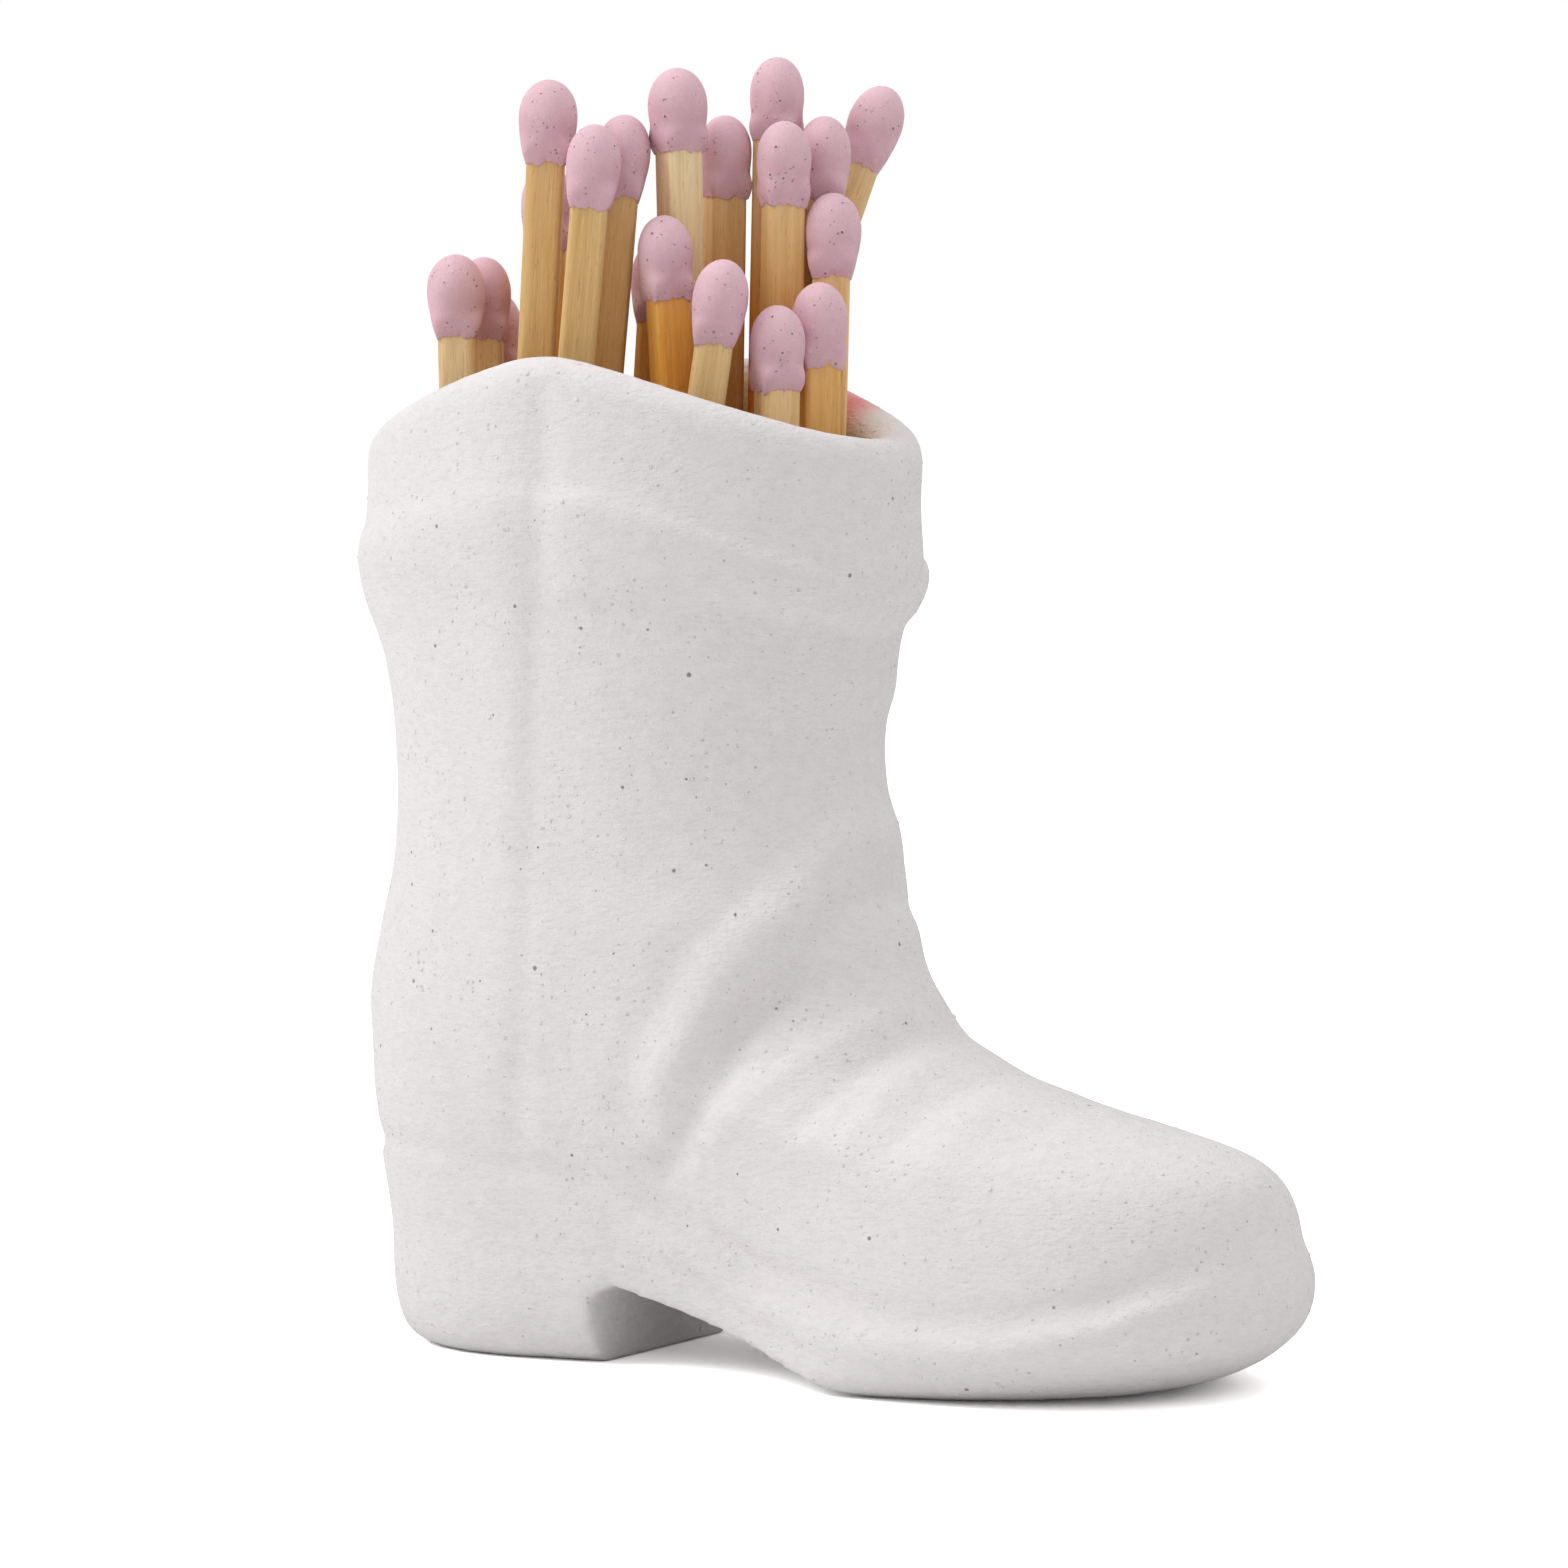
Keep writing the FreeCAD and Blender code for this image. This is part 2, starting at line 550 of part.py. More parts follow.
def square_sketch(body, name, width_text, width, height):
    """Square centred on a body's axis at one height, its side bound to the sheet."""
    sketch = body.newObject("Sketcher::SketchObject", name)
    sketch.AttachmentSupport = [(plane_of(body, "XY_Plane"), "")]
    sketch.MapMode = "FlatFace"
    sketch.AttachmentOffset = FreeCAD.Placement(V(0, 0, height), FreeCAD.Rotation())
    half = width / 2.0
    corners = [V(-half, -half, 0), V(half, -half, 0), V(half, half, 0), V(-half, half, 0)]
    for i in range(4):
        sketch.addGeometry(Part.LineSegment(corners[i], corners[(i + 1) % 4]))
    for i in range(4):
        sketch.addConstraint(Sketcher.Constraint("Coincident", i, 2, (i + 1) % 4, 1))
    sketch.addConstraint(Sketcher.Constraint("Horizontal", 0))
    sketch.addConstraint(Sketcher.Constraint("Vertical", 1))
    sketch.addConstraint(Sketcher.Constraint("Symmetric", 0, 1, 1, 2, -1, 1))
    for line, kind in ((0, "DistanceX"), (1, "DistanceY")):
        number = sketch.addConstraint(Sketcher.Constraint(kind, line, 1, line, 2, width))
        sketch.setExpression("Constraints[%d]" % number, width_text)
    return sketch


def make_stick(name, place):
    """Square wooden stick with bevelled foot edges, up to where the head's dip ends."""
    body = doc.addObject("PartDesign::Body", name)
    outline = square_sketch(body, name + "_outline", "sizes.stick_width", size("stick_width"), 0)
    pad = body.newObject("PartDesign::Pad", name + "_pad")
    pad.Profile = outline
    pad.Length = size("match_length") - size("stick_top")
    pad.setExpression("Length", "sizes.match_length - sizes.stick_top")
    doc.recompute([pad])
    bevel = body.newObject("PartDesign::Chamfer", name + "_bevel")
    bevel.Base = (pad, ["Face5"])
    bevel.setExpression("Size", "sizes.stick_bevel")
    body.Placement = place
    return body


def make_head(name, place, width):
    """Dipped head: a revolved bulb with a square pocket where the stick ends inside it."""
    body = doc.addObject("PartDesign::Body", name)
    profile = body.newObject("Sketcher::SketchObject", name + "_profile")
    profile.AttachmentSupport = [(plane_of(body, "XZ_Plane"), "")]
    profile.MapMode = "FlatFace"
    top = size("match_length")
    low = top - size("head_length")
    half = width / 2.0
    neck = max(size("stick_width") / 2.0 * math.sqrt(2.0) + 0.04, 0.0)
    corners = [V(0, low, 0), V(neck, low, 0), V(half, top - 0.62 * size("head_length"), 0),
               V(0.95 * half, top - 0.3 * size("head_length"), 0),
               V(0.62 * half, top - 0.08 * size("head_length"), 0), V(0, top, 0)]
    for i in range(len(corners)):
        profile.addGeometry(Part.LineSegment(corners[i], corners[(i + 1) % len(corners)]))
    bulb = body.newObject("PartDesign::Revolution", name + "_bulb")
    bulb.Profile = profile
    bulb.ReferenceAxis = (profile, ["V_Axis"])
    bulb.Angle = 360
    doc.recompute([bulb])
    socket = square_sketch(body, name + "_socket", "sizes.stick_width", size("stick_width"), low)
    pocket = body.newObject("PartDesign::Pocket", name + "_pocket")
    pocket.Profile = socket
    pocket.Reversed = True
    pocket.Length = size("head_length") - size("stick_top")
    pocket.setExpression("Length", "sizes.head_length - sizes.stick_top")
    body.Placement = place
    return body


nodes = [boot]
for number, (row, slot, offset, reach_right, reach_away, above_rim, width) in enumerate(MATCHES, 1):
    place = match_placement(row, slot, offset, reach_right, reach_away, above_rim)
    for body in (make_stick("match_%02d_stick" % number, place),
                 make_head("match_%02d_head" % number, place, width)):
        body.Label = body.Name
        nodes.append(body)
doc.recompute()

for item in doc.Objects:
    if "Invalid" in item.State or "Error" in item.State:
        raise RuntimeError("%s did not build: %s" % (item.Name, item.State))
for item in nodes:
    if item.Shape.isNull() or not item.Shape.isValid() or len(item.Shape.Solids) != 1:
        raise RuntimeError("%s is not one valid solid" % item.Label)

os.makedirs("parts", exist_ok=True)
for item in nodes:
    item.Shape.exportStep("parts/%s.step" % item.Label)
    box = item.Shape.BoundBox
    print("%-16s %8.1f mm3  z %.2f to %.2f" % (item.Label, item.Shape.Volume, box.ZMin, box.ZMax))
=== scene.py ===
import math

import bmesh
import bpy
import numpy
from mathutils import Matrix, Vector, noise


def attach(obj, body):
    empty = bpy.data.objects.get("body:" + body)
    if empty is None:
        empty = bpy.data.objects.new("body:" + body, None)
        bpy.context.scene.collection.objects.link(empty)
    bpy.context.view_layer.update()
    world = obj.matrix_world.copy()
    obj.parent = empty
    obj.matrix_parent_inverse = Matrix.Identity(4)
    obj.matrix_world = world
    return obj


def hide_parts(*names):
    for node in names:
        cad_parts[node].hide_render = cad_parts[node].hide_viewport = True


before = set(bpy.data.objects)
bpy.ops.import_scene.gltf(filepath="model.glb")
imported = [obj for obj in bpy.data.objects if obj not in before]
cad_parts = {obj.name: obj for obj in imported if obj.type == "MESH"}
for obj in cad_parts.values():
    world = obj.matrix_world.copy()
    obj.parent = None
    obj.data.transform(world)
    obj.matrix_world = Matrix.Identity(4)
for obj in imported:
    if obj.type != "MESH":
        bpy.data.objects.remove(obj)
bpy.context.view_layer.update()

MM = 0.001

# Shape of a match, in millimetres.
STICK_WIDTH = 2.3
MATCH_LENGTH = 57.0
HEAD_LENGTH = 5.2
STICK_EDGE = 0.14
WIDEST_AT = 0.54
FILM = 0.03
SPLINT_TOP = 1.6
SPLINT_INSET = 0.03
SPLINT_ROWS = 90
SPLINT_SIDE_POINTS = 8
HEAD_ROWS = 44
HEAD_POINTS = 56

# Skin of the cast boot, in millimetres.
SKIN_VOXEL = 0.44
SKIN_INSET = 0.05
SHAFT_X = -12.6
CORE_Z = 7.0
ANKLE_Z = 22.0
TOE_CORE_X = 14.0

# Folds of the ankle and instep, in the boot's side view. Each is a line of points (forward, up),
# how far it stands out (negative for a groove) and its half width, all in millimetres.
FOLDS = [
    ([(3.2, 32.0), (-3.2, 25.0), (-7.6, 13.5)], -0.55, 1.9),
    ([(5.0, 33.6), (3.9, 31.8), (2.7, 29.7), (1.4, 27.2), (-0.4, 25.0), (-2.0, 23.0), (-3.4, 20.5),
      (-4.6, 18.0), (-5.5, 15.0)], 0.85, 1.6),
    ([(5.2, 30.6), (4.0, 28.0), (2.8, 25.4), (1.4, 23.2), (0.0, 21.8), (-0.6, 20.0), (-1.2, 18.0),
      (-2.0, 16.0), (-3.6, 13.6), (-6.0, 11.3)], -0.5, 1.0),
    ([(7.2, 21.9), (5.2, 20.6), (2.9, 18.5), (0.6, 16.2), (-1.6, 13.4)], 0.25, 1.0),
    ([(8.4, 20.2), (6.4, 18.5), (4.7, 16.2), (3.7, 13.6)], -0.22, 0.8),
    ([(10.4, 18.7), (8.6, 17.9), (8.2, 15.2), (7.3, 13.0)], 0.22, 0.9),
    ([(12.8, 17.7), (11.0, 16.6), (10.9, 15.0), (10.5, 12.9)], -0.2, 0.8),
    ([(14.4, 17.1), (13.8, 16.0), (13.8, 14.5), (13.2, 12.4)], 0.16, 1.0),
    ([(16.9, 16.4), (17.3, 15.0), (17.6, 13.2)], -0.1, 0.9),
]

# How much of a fold is lost on the far side of the boot, which the photograph does not show.
FAR_SIDE_FADE = 0.7

# Upper and lower edge of the raised collar band, as (forward, up), how far it stands out, and the
# share of that which the soft bead along its upper edge adds.
COLLAR_TOP = [(-26.0, 49.6), (-20.0, 51.6), (-11.5, 52.3), (-7.7, 52.2), (-4.2, 51.0), (-1.1, 49.6),
              (1.2, 48.5), (3.2, 47.8), (5.0, 45.8)]
COLLAR_LOW = [(-26.0, 47.2), (-20.0, 47.0), (-15.0, 46.0), (-11.0, 45.8), (-6.0, 46.2), (-2.0, 46.2),
              (2.5, 45.0), (5.0, 43.6)]
COLLAR_RISE = 0.42
COLLAR_BEAD = 0.3

# Side seam in front of the strap.
SEAM = [(-11.7, 58.0), (-11.6, 50.0), (-12.8, 43.5), (-13.3, 38.0), (-13.5, 26.0), (-13.8, 20.0),
        (-15.0, 12.3)]
SEAM_DEPTH = 0.2
SEAM_HALF = 0.9

# Upper edge of the welt and of the heel block in side view, and how far each stands out.
WELT = [(-9.0, 9.9), (-6.5, 9.3), (-2.6, 7.8), (1.7, 5.6), (9.8, 4.3), (14.6, 4.0), (18.8, 4.2),
        (24.2, 5.4), (28.0, 7.0), (30.2, 8.4), (33.0, 10.0)]
WELT_RISE = 0.46
WELT_CREASE = 0.4
HEEL_EDGE = [(-32.0, 11.6), (-21.0, 11.9), (-18.0, 11.0), (-14.3, 11.2), (-12.3, 11.0), (-9.5, 10.0)]
HEEL_RISE = 0.2

# Painted red glow of light bounced from a match head, on the inside of the lip, and pale grains that stand
# out of the
# clay: how large and how far apart they are, the range of their sizes, their form and how high they start.
RED_GLOW_AT = (-3.4, 8.7, 57.2)
RED_GLOW_REACH = 3.9
GRAIN_RADIUS = 0.13
GRAIN_SPACING = 3.6
GRAIN_SIZES = (0.45, 1.25)
GRAIN_FORM = (1.0, 1.2, 0.55)
GRAIN_SEED = 7
GRAINS_ABOVE = 0.6

# Heights in millimetres between which the painted orange glow of bounced light on the splints grows.
PAINTED_GLOW_FROM = 74.0
PAINTED_GLOW_TO = 60.0

# Each splint: how pale it is, from 0 for tan to 1 for cream, how strong its painted orange glow of bounced
# light gets deeper in the bunch, and how far it is turned about its own length, in degrees.
SPLINTS = [
    (0.75, 0.10, 0), (0.75, 0.15, 0), (0.3, 0.5, 0), (0.1, 0.0, 0), (0.3, 0.6, 0),
    (0.1, 0.0, 0), (0.1, 0.15, 0), (0.9, 0.25, 28), (0.35, 0.8, 22), (0.4, 0.5, 24),
    (0.6, 0.9, -20), (0.45, 0.55, 18), (0.4, 0.5, 0), (0.5, 0.3, 0), (0.8, 0.4, 0),
    (0.5, 0.5, 18), (0.9, 0.3, 24), (0.5, 0.15, 0), (0.3, 0.6, 0), (0.3, 0.6, 0),
]

# Floor, light and camera, in metres, watts and degrees. Each lamp has its place, width and power,
# and the lens is in millimetres.
FLOOR_REACH = 3.0
FLOOR_SEEN = (2.4, 2.4, 2.4, 1.0)
FLOOR_PAINT = (0.92, 0.92, 0.92, 1.0)
WHITE = (1.0, 1.0, 1.0, 1.0)
ROOM_LIGHT = 0.56
LAMP_AIM = (0.0, 0.0, 0.03)
KEY_LAMP = ((-0.28, -0.22, 0.33), 0.22, 0.87)
TOP_LAMP = ((0.12, 0.02, 0.48), 0.35, 0.6)
CAMERA_AT = (0.1897, -0.3335, 0.0585)
CAMERA_LENS = 147.74
CAMERA_DOWN = 3.55
CAMERA_TURN = 30.0


def new_object(name, mesh):
    """Put a mesh into the scene as an object at the origin."""
    piece = bpy.data.objects.new(name, mesh)
    bpy.context.scene.collection.objects.link(piece)
    return piece


def applied(piece):
    """Turn an object's live modifiers into its own plain mesh."""
    graph = bpy.context.evaluated_depsgraph_get()
    mesh = bpy.data.meshes.new_from_object(piece.evaluated_get(graph), depsgraph=graph)
    piece.modifiers.clear()
    piece.data = mesh
    return piece


def smooth(mesh):
    """Shade every face of a mesh smoothly."""
    mesh.polygons.foreach_set("use_smooth", [True] * len(mesh.polygons))
    mesh.update()


def ease(start, end, value):
    """Smooth step from 0 at start to 1 at end."""
    t = min(max((value - start) / (end - start), 0.0), 1.0)
    return t * t * (3.0 - 2.0 * t)


class Shades:
    """Builds the nodes of one material."""

    def __init__(self, name):
        self.material = bpy.data.materials.new(name)
        self.material.use_nodes = True
        self.tree = self.material.node_tree
        self.tree.nodes.clear()
        output = self.add("ShaderNodeOutputMaterial")
        self.skin = self.add("ShaderNodeBsdfPrincipled")
        self.tree.links.new(self.skin.outputs["BSDF"], output.inputs["Surface"])

    def add(self, kind, sockets=None, **settings):
        """One node, its settings, and its inputs as values or links."""
        node = self.tree.nodes.new(kind)
        for key, value in settings.items():
            setattr(node, key, value)
        for key, value in (sockets or {}).items():
            self.feed(node.inputs[key], value)
        return node

    def feed(self, socket, value):
        """Set one input, from another node's output or as a plain value."""
        if isinstance(value, bpy.types.NodeSocket):
            self.tree.links.new(value, socket)
        else:
            socket.default_value = value

    def place(self):
        """Position on the piece, in millimetres."""
        coordinates = self.add("ShaderNodeTexCoord").outputs["Object"]
        return self.add("ShaderNodeVectorMath", {0: coordinates, "Scale": 1.0 / MM},
                        operation="SCALE").outputs["Vector"]

    def stretched(self, vector, x, y, z):
        """A position scaled by its own factor along each axis."""
        return self.add("ShaderNodeMapping", {"Vector": vector, "Scale": (x, y, z)}).outputs["Vector"]

    def grain(self, vector, size, detail=2.0, roughness=0.5):
        """Soft noise whose lumps are about size millimetres across."""
        return self.add("ShaderNodeTexNoise", {
            "Vector": vector, "Scale": 1.0 / size, "Detail": detail, "Roughness": roughness}).outputs["Fac"]

    def math(self, operation, first, second, third=0.0):
        """One sum on numbers."""
        return self.add("ShaderNodeMath", {0: first, 1: second, 2: third}, operation=operation).outputs[0]

    def band(self, value, low, high):
        """A value mapped smoothly from low..high to 0..1."""
        return self.add("ShaderNodeMapRange", {"Value": value, "From Min": low, "From Max": high},
                        interpolation_type="SMOOTHSTEP").outputs["Result"]

    def spots(self, vector, spacing, radius, share):
        """Round spots scattered on a grid of cells: 1 inside a spot, fading to 0 at its edge.
        Only a share of the cells has one, and each has its own size."""
        cells = self.add("ShaderNodeTexVoronoi", {
            "Vector": vector, "Scale": 1.0 / spacing, "Randomness": 1.0}, feature="F1")
        pick = self.add("ShaderNodeSeparateColor", {"Color": cells.outputs["Color"]})
        chosen = self.math("LESS_THAN", pick.outputs["Red"], share)
        reach = self.math("MULTIPLY_ADD", pick.outputs["Green"], radius / spacing * 0.7,
                          radius / spacing * 0.55)
        inside = self.math("SUBTRACT", 1.0, self.math("DIVIDE", cells.outputs["Distance"], reach))
        return self.math("MULTIPLY", self.band(inside, 0.0, 0.5), chosen)

    def blend(self, factor, first, second):
        """Two colours mixed by a factor."""
        node = self.add("ShaderNodeMix", data_type="RGBA")
        self.feed(node.inputs[0], factor)
        self.feed(node.inputs[6], first)
        self.feed(node.inputs[7], second)
        return node.outputs[2]

    def relief(self, height, depth, under=None):
        """A bump whose full height is depth millimetres."""
        node = self.add("ShaderNodeBump", {"Height": height, "Distance": depth * MM, "Strength": 1.0})
        if under is not None:
            self.tree.links.new(under, node.inputs["Normal"])
        return node.outputs["Normal"]

    def finish(self, colour, normal, roughness):
        """Send colour, roughness and relief to the surface."""
        self.feed(self.skin.inputs["Base Color"], colour)
        self.feed(self.skin.inputs["Roughness"], roughness)
        self.feed(self.skin.inputs["Normal"], normal)
        return self.material


def bisque_material():
    """Unglazed white clay: chalky, with pits, pores and pinholes painted dark as painted shade, pale sand,
    faint streaks, and a painted red glow of light bounced from a match head inside the lip.
    """
    s = Shades("bisque")
    s.skin.inputs["Specular IOR Level"].default_value = 0.2
    at = s.place()
    cloud = s.grain(at, 14.0, 3.0)
    mottle = s.grain(at, 1.1, 4.0, 0.6)
    grit = s.grain(at, 0.22, 3.0, 0.7)
    streak = s.grain(s.stretched(at, 0.55, 0.55, 1.5), 0.42, 3.0, 0.6)
    patches = s.band(s.grain(at, 6.0, 2.0), 0.42, 0.62)
    pits = s.spots(at, 2.0, 0.14, 0.8)
    pores = s.spots(at, 1.0, 0.085, 0.6)
    pinholes = s.spots(at, 0.5, 0.06, 0.4)
    sand = s.math("MULTIPLY", s.spots(at, 0.5, 0.13, 0.6), patches)

    clay = s.blend(s.band(cloud, 0.3, 0.7), (0.800, 0.762, 0.764, 1.0), (0.825, 0.790, 0.788, 1.0))
    clay = s.blend(s.band(mottle, 0.3, 0.7), clay, (0.845, 0.812, 0.808, 1.0))
    clay = s.blend(s.math("MULTIPLY", s.band(streak, 0.45, 0.7), 0.28), clay, (0.715, 0.675, 0.675, 1.0))
    clay = s.blend(s.math("MULTIPLY", s.band(grit, 0.5, 0.75), 0.25), clay, (0.69, 0.65, 0.65, 1.0))
    clay = s.blend(s.math("MULTIPLY", sand, 0.35), clay, (0.90, 0.878, 0.870, 1.0))
    # Painted shade: pinholes, pores and pits are painted dark, as the shade inside these small holes.
    clay = s.blend(s.math("MULTIPLY", pinholes, 0.12), clay, (0.36, 0.32, 0.32, 1.0))
    clay = s.blend(s.math("MULTIPLY", pores, 0.26), clay, (0.26, 0.23, 0.23, 1.0))
    clay = s.blend(s.math("MULTIPLY", pits, 0.75), clay, (0.14, 0.12, 0.12, 1.0))

    # Painted reflection: a red glow of light bounced from a match head, painted on the inside of the lip.
    from_red_glow = s.add("ShaderNodeVectorMath", {0: at, 1: RED_GLOW_AT}, operation="DISTANCE").outputs["Value"]
    painted_red_glow = s.math("MULTIPLY", s.band(from_red_glow, RED_GLOW_REACH, 0.0), 0.9)
    clay = s.blend(painted_red_glow, clay, (0.85, 0.26, 0.26, 1.0))

    height = s.math("MULTIPLY_ADD", grit, 0.45, s.math("MULTIPLY", streak, 0.9))
    normal = s.relief(height, 0.12)
    normal = s.relief(sand, 0.05, normal)
    holes = s.math("MAXIMUM", s.math("MAXIMUM", pits, pores), pinholes)
    normal = s.relief(s.math("SUBTRACT", 1.0, holes), 0.05, normal)
    return s.finish(clay, normal, 0.95)


def wood_material():
    """Split softwood: fibres along the stick, pale or tan, with a painted orange glow of bounced light
    deeper in the bunch.
    """
    s = Shades("match_wood")
    s.skin.inputs["Specular IOR Level"].default_value = 0.25
    s.skin.inputs["Subsurface Weight"].default_value = 0.15
    s.skin.inputs["Subsurface Radius"].default_value = (1.0, 0.55, 0.2)
    s.skin.inputs["Subsurface Scale"].default_value = 0.5 * MM
    along = s.add("ShaderNodeAttribute", attribute_name="along_stick").outputs["Vector"]
    tone = s.add("ShaderNodeAttribute", attribute_name="wood_tone").outputs["Fac"]
    painted_glow = s.add("ShaderNodeAttribute", attribute_name="painted_glow").outputs["Fac"]
    fibre = s.grain(s.stretched(along, 1.0, 1.0, 0.05), 0.13, 4.0, 0.65)
    ring = s.grain(s.stretched(along, 1.0, 1.0, 0.025), 0.7, 2.0, 0.5)
    fleck = s.grain(s.stretched(along, 1.0, 1.0, 0.16), 0.12, 2.0, 0.5)

    wood = s.blend(tone, (0.74, 0.475, 0.185, 1.0), (0.97, 0.80, 0.50, 1.0))
    # Painted light: an orange glow of light bounced between the splints, stronger deeper in the bunch.
    wood = s.blend(painted_glow, wood, (0.93, 0.37, 0.006, 1.0))
    wood = s.blend(s.math("MULTIPLY", s.band(ring, 0.42, 0.62), 0.30), wood, (0.60, 0.33, 0.07, 1.0))
    wood = s.blend(s.math("MULTIPLY", s.band(fibre, 0.5, 0.75), 0.30), wood, (0.95, 0.78, 0.48, 1.0))
    wood = s.blend(s.math("MULTIPLY", s.band(fibre, 0.48, 0.3), 0.28), wood, (0.46, 0.25, 0.08, 1.0))
    wood = s.blend(s.math("MULTIPLY", s.band(fleck, 0.64, 0.74), 0.35), wood, (0.30, 0.14, 0.04, 1.0))

    normal = s.relief(s.math("MULTIPLY_ADD", ring, 0.5, fibre), 0.05)
    return s.finish(wood, normal, 0.62)


def head_material():
    """Dipped striking compound: dull pink, with pits and pinholes painted dark as painted shade, and the
    top painted paler as painted light from above.
    """
    s = Shades("match_head")
    s.skin.inputs["Specular IOR Level"].default_value = 0.25
    s.skin.inputs["Subsurface Weight"].default_value = 0.1
    s.skin.inputs["Subsurface Radius"].default_value = (1.0, 0.45, 0.5)
    s.skin.inputs["Subsurface Scale"].default_value = 0.4 * MM
    at = s.place()
    painted_top_light = s.add("ShaderNodeAttribute", attribute_name="painted_top_light").outputs["Fac"]
    cloud = s.grain(at, 1.3, 3.0)
    grit = s.grain(at, 0.13, 3.0, 0.65)
    clusters = s.band(s.grain(at, 0.9, 2.0), 0.48, 0.62)
    rims = s.spots(at, 0.9, 0.22, 0.8)
    pits = s.spots(at, 0.9, 0.095, 0.8)
    pinholes = s.math("MULTIPLY", s.spots(at, 0.34, 0.075, 0.85), clusters)

    pink = s.blend(s.band(cloud, 0.3, 0.7), (0.700, 0.440, 0.500, 1.0), (0.765, 0.492, 0.555, 1.0))
    # Painted light: the top of each head painted paler, as if lit from above.
    pink = s.blend(s.math("MULTIPLY", painted_top_light, 0.7), pink, (0.86, 0.595, 0.66, 1.0))
    pink = s.blend(s.math("MULTIPLY", s.band(grit, 0.45, 0.75), 0.25), pink, (0.50, 0.300, 0.350, 1.0))
    pink = s.blend(s.math("MULTIPLY", rims, 0.35), pink, (0.84, 0.620, 0.690, 1.0))
    # Painted shade: pinholes and pits are painted dark, as the shade inside these small holes.
    pink = s.blend(s.math("MULTIPLY", pinholes, 0.6), pink, (0.30, 0.150, 0.190, 1.0))
    pink = s.blend(s.math("MULTIPLY", pits, 0.75), pink, (0.16, 0.075, 0.10, 1.0))

    normal = s.relief(grit, 0.035)
    normal = s.relief(rims, 0.03, normal)
    normal = s.relief(s.math("SUBTRACT", 1.0, s.math("MAXIMUM", pits, pinholes)), 0.08, normal)
    return s.finish(pink, normal, 0.78)


# Boot
def cast_boot(material):
    """One skin over the cast body, softened as slip-cast clay is."""
    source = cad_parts["boot"]
    mesh = source.data.copy()
    mesh.materials.clear()
    boot = new_object("boot_skin", mesh)
    weld = bmesh.new()
    weld.from_mesh(mesh)
    bmesh.ops.remove_doubles(weld, verts=weld.verts, dist=0.002 * MM)
    weld.to_mesh(mesh)
    weld.free()
    voxels = boot.modifiers.new("voxels", "REMESH")
    voxels.mode = "VOXEL"
    voxels.voxel_size = SKIN_VOXEL * MM
    voxels.use_smooth_shade = True
    soften = boot.modifiers.new("soften", "SMOOTH")
    soften.factor = 0.5
    soften.iterations = 4
    applied(boot)
    boot.data.materials.append(material)
    smooth(boot.data)
    return boot


def fade(start, end, value):
    """Smooth step from 0 at start to 1 at end, for arrays."""
    t = numpy.clip((value - start) / (end - start), 0.0, 1.0)
    return t * t * (3.0 - 2.0 * t)


def nearest_on_line(points, x, z):
    """Distance to a bent line, how far along it that is, and its length."""
    gap = numpy.full(len(x), 1e9)
    along = numpy.zeros(len(x))
    length = 0.0
    for (x0, z0), (x1, z1) in zip(points, points[1:]):
        run = math.hypot(x1 - x0, z1 - z0)
        t = numpy.clip(((x - x0) * (x1 - x0) + (z - z0) * (z1 - z0)) / run ** 2, 0.0, 1.0)
        here = numpy.hypot(x - x0 - t * (x1 - x0), z - z0 - t * (z1 - z0))
        nearer = here < gap
        gap = numpy.where(nearer, here, gap)
        along = numpy.where(nearer, length + t * run, along)
        length += run
    return gap, along, length


def is_outside(at, outward):
    """1 for points of the outer skin, 0 for those of the bore."""
    x, z = at[:, 0], at[:, 2]
    low = z < ANKLE_Z
    core_x = numpy.where(low, numpy.clip(x, SHAFT_X, TOE_CORE_X), SHAFT_X)
    core_z = numpy.where(low, CORE_Z, z)
    from_core = at - numpy.stack([core_x, numpy.zeros(len(x)), core_z], axis=1)
    return (from_core * outward).sum(axis=1) > 0.0


def cast_relief(x, y, z):
    """How far the skin stands out: folds, collar band, seam, welt and heel line. The folds are drawn
    in side view and run out on the far side."""
    rise = numpy.zeros(len(x))
    for points, height, half in FOLDS:
        gap, along, length = nearest_on_line(points, x, z)
        ends = fade(0.0, 2.0, along + 0.6) * fade(0.0, 2.5, length - along)
        rise += height * numpy.exp(-(gap / half) ** 2) * ends
    rise *= 1.0 - FAR_SIDE_FADE * fade(-1.0, 4.0, y)
    top = numpy.interp(x, *zip(*COLLAR_TOP))
    low = numpy.interp(x, *zip(*COLLAR_LOW))
    strength = COLLAR_RISE * (0.35 + 0.65 * fade(-14.0, -9.0, x))
    rise += strength * fade(0.45, -0.45, z - top) * fade(-0.9, 0.9, z - low)
    rise += COLLAR_BEAD * strength * numpy.exp(-((z - top + 0.9) / 0.9) ** 2)
    gap, along, length = nearest_on_line(SEAM, x, z)
    rise -= SEAM_DEPTH * numpy.exp(-(gap / SEAM_HALF) ** 2) * fade(0.0, 1.5, length - along)
    above = z - numpy.interp(x, *zip(*WELT))
    on_foot = fade(-8.0, -4.0, x) * (1.0 - 0.85 * fade(24.0, 30.0, x))
    rise += WELT_RISE * fade(0.4, -0.3, above) * fade(-2.6, -0.9, above) * on_foot
    rise -= WELT_CREASE * numpy.exp(-((above - 1.2) / 0.9) ** 2) * on_foot
    above = z - numpy.interp(x, *zip(*HEEL_EDGE))
    on_heel = fade(-8.0, -11.0, x)
    rise += HEEL_RISE * fade(0.3, -0.3, above) * fade(-5.0, -1.0, above) * on_heel
    rise -= HEEL_RISE * 0.6 * numpy.exp(-((above - 0.8) / 0.7) ** 2) * on_heel
    return rise


